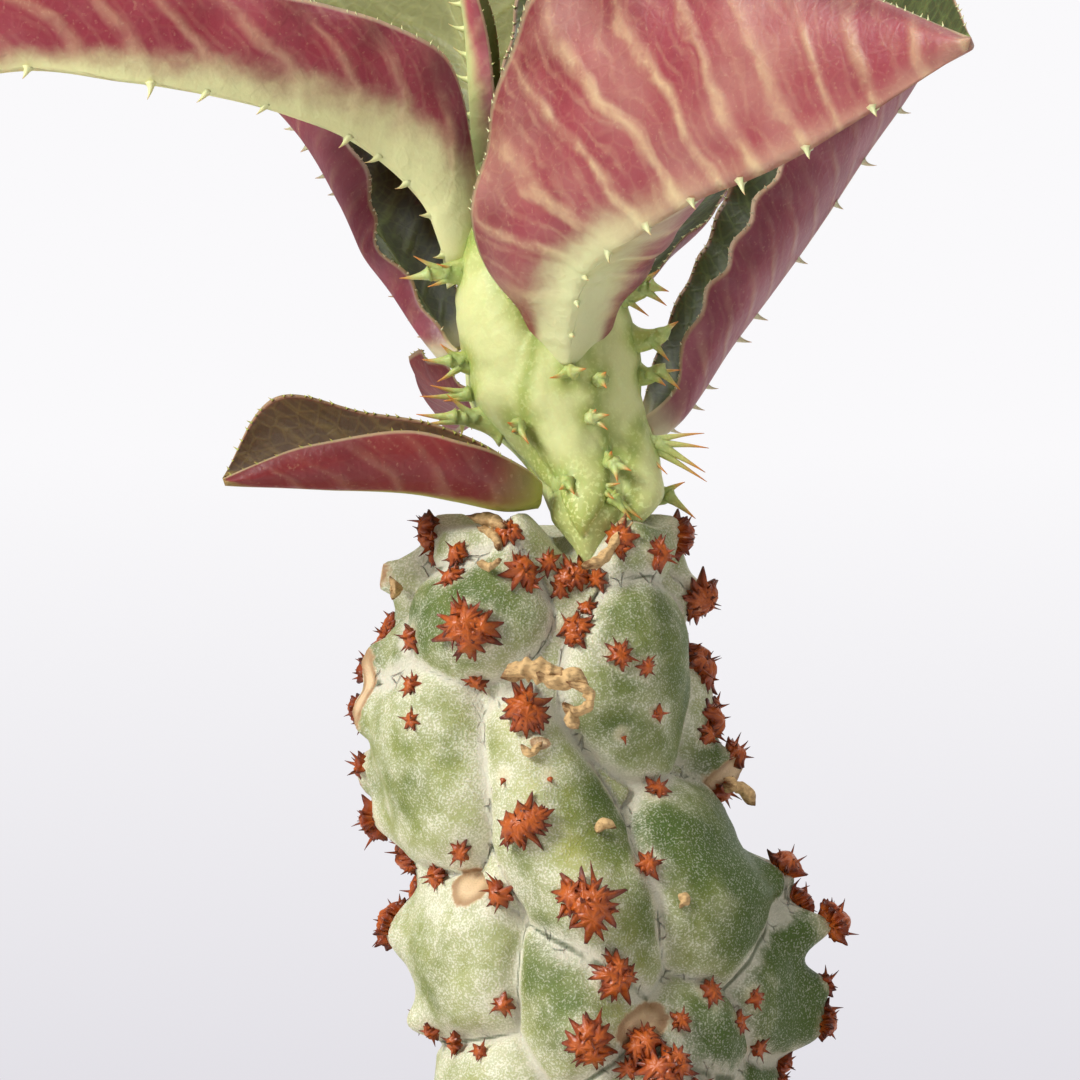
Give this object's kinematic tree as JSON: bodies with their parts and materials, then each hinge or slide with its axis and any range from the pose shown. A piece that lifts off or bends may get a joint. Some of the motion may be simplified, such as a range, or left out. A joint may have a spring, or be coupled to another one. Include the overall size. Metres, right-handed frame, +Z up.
{
  "type": "potted euphorbia",
  "caption": "Potted succulent euphorbia: knobbly grey-green stem with horny spine clusters, a pale new shoot and thick folded red-backed leaves, in a plain clay pot.",
  "frame": {"origin": "centre of the pot's flat underside", "axes": "+Z up along the stem, -Y the front as seen, +X to the right"},
  "size_m": [0.1521, 0.1368, 0.3173],
  "materials": {
    "clay": "unglazed fired clay, matt and slightly rough",
    "soil": "dark crumbly potting soil",
    "grit": "loose pale mineral grit",
    "stem_skin": "grey-green succulent skin with a pale waxy bloom",
    "shoot_skin": "smooth yellow-green young succulent skin, satin",
    "leaf": "thick succulent leaf, red below with pale veins, dark green above, satin",
    "spine": "horny rust-orange spines, slightly glossy",
    "husk": "dry papery tan remains of a leaf base"
  },
  "bodies": {
    "root": {"pot": "clay", "soil": "soil", "grit": "grit", "stem": "stem_skin", "shoot": "shoot_skin", "husk": "husk", "leaf_left": "leaf", "leaf_front": "leaf", "leaf_right": "leaf", "leaf_back_left": "leaf", "leaf_back": "leaf", "leaf_back_right": "leaf", "leaf_back_low": "leaf", "leaf_small": "leaf", "leaf_top": "leaf", "leaf_young": "leaf", "spines_01": "spine", "spines_02": "spine", "spines_03": "spine", "spines_04": "spine", "spines_05": "spine", "spines_06": "spine", "spines_07": "spine", "spines_08": "spine", "spines_09": "spine", "spines_10": "spine", "spines_11": "spine", "spines_12": "spine", "spines_13": "spine", "spines_14": "spine", "spines_15": "spine", "spines_16": "spine", "spines_17": "spine", "spines_18": "spine", "spines_19": "spine", "spines_20": "spine", "spines_21": "spine", "spines_22": "spine", "spines_23": "spine", "spines_24": "spine", "spines_25": "spine", "spines_26": "spine", "spines_27": "spine", "spines_28": "spine", "spines_29": "spine", "spines_30": "spine", "spines_31": "spine", "spines_32": "spine", "spines_33": "spine", "spines_34": "spine"}
  },
  "joints": []
}
